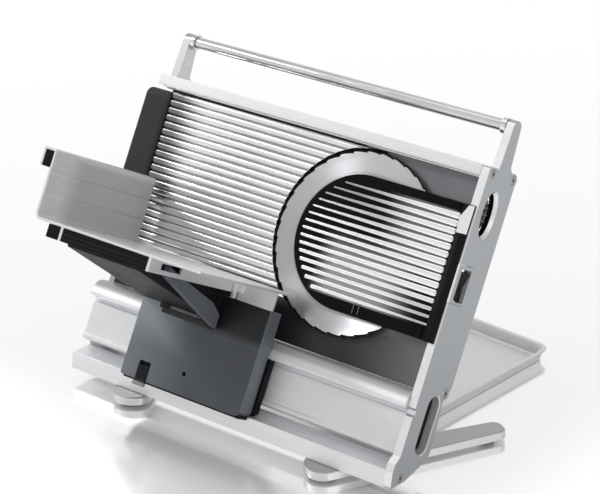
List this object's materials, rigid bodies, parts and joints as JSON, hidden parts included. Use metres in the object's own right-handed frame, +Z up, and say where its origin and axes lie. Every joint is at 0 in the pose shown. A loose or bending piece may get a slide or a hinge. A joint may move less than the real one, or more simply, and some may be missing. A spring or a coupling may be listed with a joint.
{
  "type": "electric food slicer",
  "caption": "Leaning frame with a serrated disc blade, ribbed thickness gauge, sliding food carriage with tilted table, carry bar, splayed feet and a loose slice tray.",
  "frame": {"origin": "centre of the bounding box's footprint, on the surface that the pads stand on", "axes": "+X to the right as the user faces the carriage, +Y away from the user, +Z up; the panel leans back by 28.8 degrees about X"},
  "size_m": [0.4104, 0.4091, 0.2974],
  "materials": {
    "brushed_alloy": "brushed",
    "satin_extrusion": "satin anodised",
    "bright_steel": "bright",
    "ribbed_alloy": "bright ribbed",
    "black_gloss": "glossy",
    "slate_satin": "satin",
    "slate_matte": "matte",
    "black_plastic": "matte",
    "black_rubber": "matte",
    "brass": "machined"
  },
  "bodies": {
    "frame": {"side_plate_left": "brushed_alloy", "side_plate_right": "brushed_alloy", "screw_right_front": "bright_steel", "screw_right_rear": "bright_steel", "screw_right_low": "bright_steel", "screw_right_base": "bright_steel", "screw_left_front": "bright_steel", "screw_left_rear": "bright_steel", "screw_left_low": "bright_steel", "screw_left_base": "bright_steel", "carry_bar": "bright_steel", "bar_collar_left": "bright_steel", "bar_collar_right": "bright_steel", "top_rail": "satin_extrusion", "guide_rail": "satin_extrusion", "base_rail": "satin_extrusion", "back_panel": "slate_matte", "blade_cover": "black_gloss", "cover_latch": "bright_steel", "shaft_bearing": "brushed_alloy", "motor": "slate_satin", "motor_housing": "black_plastic", "slide_block": "brushed_alloy", "spindle_bracket": "brushed_alloy", "switch_bezel": "bright_steel", "foot_bar_left": "bright_steel", "foot_bar_right": "bright_steel", "foot_pad_right_front": "black_rubber", "foot_pad_right_rear": "black_rubber", "foot_pad_left_front": "black_rubber", "foot_pad_left_rear": "black_rubber"},
    "blade": {"blade": "bright_steel", "blade_hub": "bright_steel", "worm_wheel": "brass"},
    "worm": {"worm": "bright_steel"},
    "thickness_control": {"thickness_wheel": "black_plastic", "spindle": "bright_steel"},
    "gauge": {"gauge_plate": "ribbed_alloy", "gauge_grip": "black_plastic", "gauge_rod_low": "bright_steel", "gauge_rod_high": "bright_steel", "gauge_carrier": "brushed_alloy"},
    "switch": {"switch_rocker": "black_plastic"},
    "carriage": {"carriage_plate": "slate_satin", "carriage_glide": "black_plastic", "carriage_arm": "slate_satin", "arm_hook": "slate_satin", "carriage_table": "satin_extrusion", "front_strip": "black_plastic", "strip_end_block": "black_plastic", "table_support": "satin_extrusion", "leg_clasp": "brushed_alloy", "grip_cap_outer": "black_plastic", "grip_cap_inner": "black_plastic"},
    "carriage_lock": {"lock_slider": "black_plastic"},
    "tray": {"slice_tray": "satin_extrusion"}
  },
  "joints": [
    {"name": "carriage_slide", "type": "slide", "parent": "frame", "child": "carriage", "axis": [1, 0, 0], "range_m": [-0.06, 0.14]},
    {"name": "blade_spin", "type": "hinge", "parent": "frame", "child": "blade", "pos_m": [0.071, -0.028, 0.177], "axis": [0, -0.8763, 0.4818], "continuous": true},
    {"name": "worm_spin", "type": "hinge", "parent": "frame", "child": "worm", "pos_m": [0.1065, 0.00355, 0.15966], "axis": [0, 0.4818, 0.8763], "continuous": true},
    {"name": "thickness_turn", "type": "hinge", "parent": "frame", "child": "thickness_control", "pos_m": [0.153, 0.01044, 0.2216], "axis": [0, -0.8763, 0.4818], "range_deg": [0, 300]},
    {"name": "gauge_slide", "type": "slide", "parent": "frame", "child": "gauge", "axis": [0, 0.8763, -0.4818], "range_m": [0, 0.02]},
    {"name": "switch_tilt", "type": "hinge", "parent": "frame", "child": "switch", "pos_m": [0.1775, -0.02774, 0.16813], "axis": [0, -0.8763, 0.4818], "range_deg": [0, 14]},
    {"name": "lock_shift", "type": "slide", "parent": "carriage", "child": "carriage_lock", "axis": [0, 0.4818, 0.8763], "range_m": [0, 0.0035]},
    {"name": "tray_slide", "type": "slide", "parent": "frame", "child": "tray", "axis": [0, 1, 0], "range_m": [0, 0.06]}
  ],
  "couplings": [
    {"joint": "worm_spin", "follows": "blade_spin", "ratio": -30},
    {"joint": "thickness_turn", "follows": "gauge_slide", "rad_per_m": 261.79}
  ]
}
